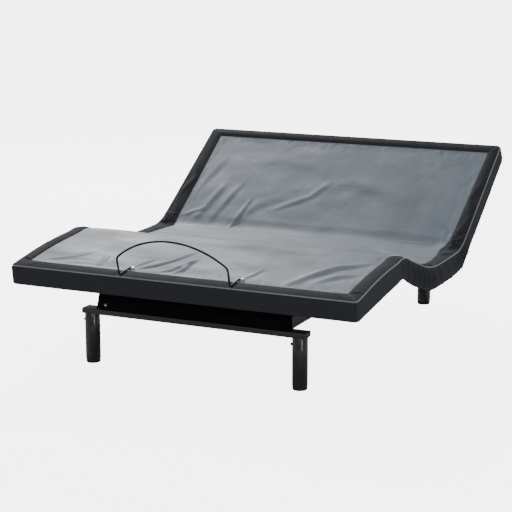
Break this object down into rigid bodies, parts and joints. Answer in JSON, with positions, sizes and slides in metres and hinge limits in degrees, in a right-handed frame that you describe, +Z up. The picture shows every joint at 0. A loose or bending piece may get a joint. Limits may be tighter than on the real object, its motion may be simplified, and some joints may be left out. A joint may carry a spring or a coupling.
{
  "type": "adjustable bed base",
  "caption": "Legged steel bed frame with hinged upholstered head, seat, thigh and foot panels, raised by linear actuators, and a wire mattress retainer at the foot.",
  "frame": {"origin": "middle of the bounding box's bottom face, on the floor under the bed", "axes": "+Y from the foot end to the head end, +X to the right as seen from the foot end, +Z up"},
  "size_m": [1.524, 1.986, 0.7529],
  "materials": {
    "frame_enamel": "satin black powder coat",
    "leg_enamel": "gloss black enamel",
    "glide_rubber": "matt black moulded rubber",
    "deck_wood": "bare plywood",
    "charcoal_fabric": "woven charcoal upholstery fabric",
    "grip_fabric": "grey non-woven non-slip top with a faint sheen",
    "retainer_wire": "satin black coated wire",
    "drive_housing": "moulded dark grey plastic",
    "rod_steel": "bright zinc-plated steel",
    "box_plastic": "textured black plastic"
  },
  "bodies": {
    "base_frame": {"side_rail_left": "frame_enamel", "side_rail_right": "frame_enamel", "foot_apron": "frame_enamel", "head_cross_member": "frame_enamel", "front_drive_bar": "frame_enamel", "rear_drive_bar": "frame_enamel", "foot_leg_crossbar": "frame_enamel", "head_leg_crossbar": "frame_enamel", "foot_leg_left": "leg_enamel", "foot_leg_right": "leg_enamel", "head_leg_left": "leg_enamel", "head_leg_right": "leg_enamel", "foot_glide_left": "glide_rubber", "foot_glide_right": "glide_rubber", "head_glide_left": "glide_rubber", "head_glide_right": "glide_rubber", "seat_side_plate_left": "frame_enamel", "seat_side_plate_right": "frame_enamel", "seat_cross_rail_front": "frame_enamel", "seat_cross_rail_rear": "frame_enamel", "seat_deck_board": "deck_wood", "seat_side_band_left": "charcoal_fabric", "seat_side_band_right": "charcoal_fabric", "seat_pad": "grip_fabric", "control_box": "box_plastic", "power_supply": "box_plastic"},
    "head_section": {"head_frame_bar_left": "frame_enamel", "head_frame_bar_right": "frame_enamel", "head_lever_tube": "frame_enamel", "head_end_tube": "frame_enamel", "head_deck_board": "deck_wood", "head_side_band_left": "charcoal_fabric", "head_side_band_right": "charcoal_fabric", "head_end_band": "charcoal_fabric", "head_pad": "grip_fabric"},
    "thigh_section": {"thigh_frame_bar_left": "frame_enamel", "thigh_frame_bar_right": "frame_enamel", "thigh_lever_tube": "frame_enamel", "thigh_deck_board": "deck_wood", "thigh_side_band_left": "charcoal_fabric", "thigh_side_band_right": "charcoal_fabric", "thigh_pad": "grip_fabric"},
    "foot_section": {"foot_frame_bar_left": "frame_enamel", "foot_frame_bar_right": "frame_enamel", "foot_cross_tube": "frame_enamel", "foot_deck_board": "deck_wood", "foot_side_band_left": "charcoal_fabric", "foot_side_band_right": "charcoal_fabric", "foot_end_band": "charcoal_fabric", "foot_pad": "grip_fabric", "retainer_bar": "retainer_wire"},
    "foot_links": {"foot_link_left": "frame_enamel", "foot_link_right": "frame_enamel"},
    "head_actuator": {"head_actuator_body": "drive_housing"},
    "head_actuator_rod": {"head_actuator_rod": "rod_steel"},
    "foot_actuator": {"foot_actuator_body": "drive_housing"},
    "foot_actuator_rod": {"foot_actuator_rod": "rod_steel"}
  },
  "joints": [
    {"name": "head_lift", "type": "hinge", "parent": "base_frame", "child": "head_section", "pos_m": [0, 0.35845, 0.3272], "axis": [1, 0, 0], "range_deg": [-33, 30]},
    {"name": "thigh_lift", "type": "hinge", "parent": "base_frame", "child": "thigh_section", "pos_m": [0, -0.07555, 0.3272], "axis": [-1, 0, 0], "range_deg": [-19, 20]},
    {"name": "knee_fold", "type": "hinge", "parent": "thigh_section", "child": "foot_section", "pos_m": [0, -0.42445, 0.44733], "axis": [1, 0, 0], "range_deg": [-25.9, 27.27]},
    {"name": "foot_link_swing", "type": "hinge", "parent": "base_frame", "child": "foot_links", "pos_m": [0, -0.19275, 0.275], "axis": [-1, 0, 0], "range_deg": [-20.29, 21.36]},
    {"name": "head_actuator_swing", "type": "hinge", "parent": "base_frame", "child": "head_actuator", "pos_m": [-0.16, -0.13275, 0.2725], "axis": [1, 0, 0], "range_deg": [-2.94, 2.68]},
    {"name": "head_actuator_extend", "type": "slide", "parent": "head_actuator", "child": "head_actuator_rod", "axis": [0, 0.9989, -0.0464], "range_m": [-0.04821, 0.04383]},
    {"name": "foot_actuator_swing", "type": "hinge", "parent": "base_frame", "child": "foot_actuator", "pos_m": [0.16, 0.46725, 0.2725], "axis": [-1, 0, 0], "range_deg": [-1.32, 1.39]},
    {"name": "foot_actuator_extend", "type": "slide", "parent": "foot_actuator", "child": "foot_actuator_rod", "axis": [0, -0.9976, -0.0691], "range_m": [-0.03129, 0.03294]}
  ],
  "couplings": [
    {"joint": "knee_fold", "follows": "thigh_lift", "ratio": 1.3632},
    {"joint": "foot_link_swing", "follows": "thigh_lift", "ratio": 1.068},
    {"joint": "foot_actuator_swing", "follows": "thigh_lift", "ratio": 0.06972},
    {"joint": "foot_actuator_extend", "follows": "thigh_lift", "m_per_rad": 0.09435},
    {"joint": "head_actuator_swing", "follows": "head_lift", "ratio": 0.0892},
    {"joint": "head_actuator_extend", "follows": "head_lift", "m_per_rad": 0.0837}
  ]
}
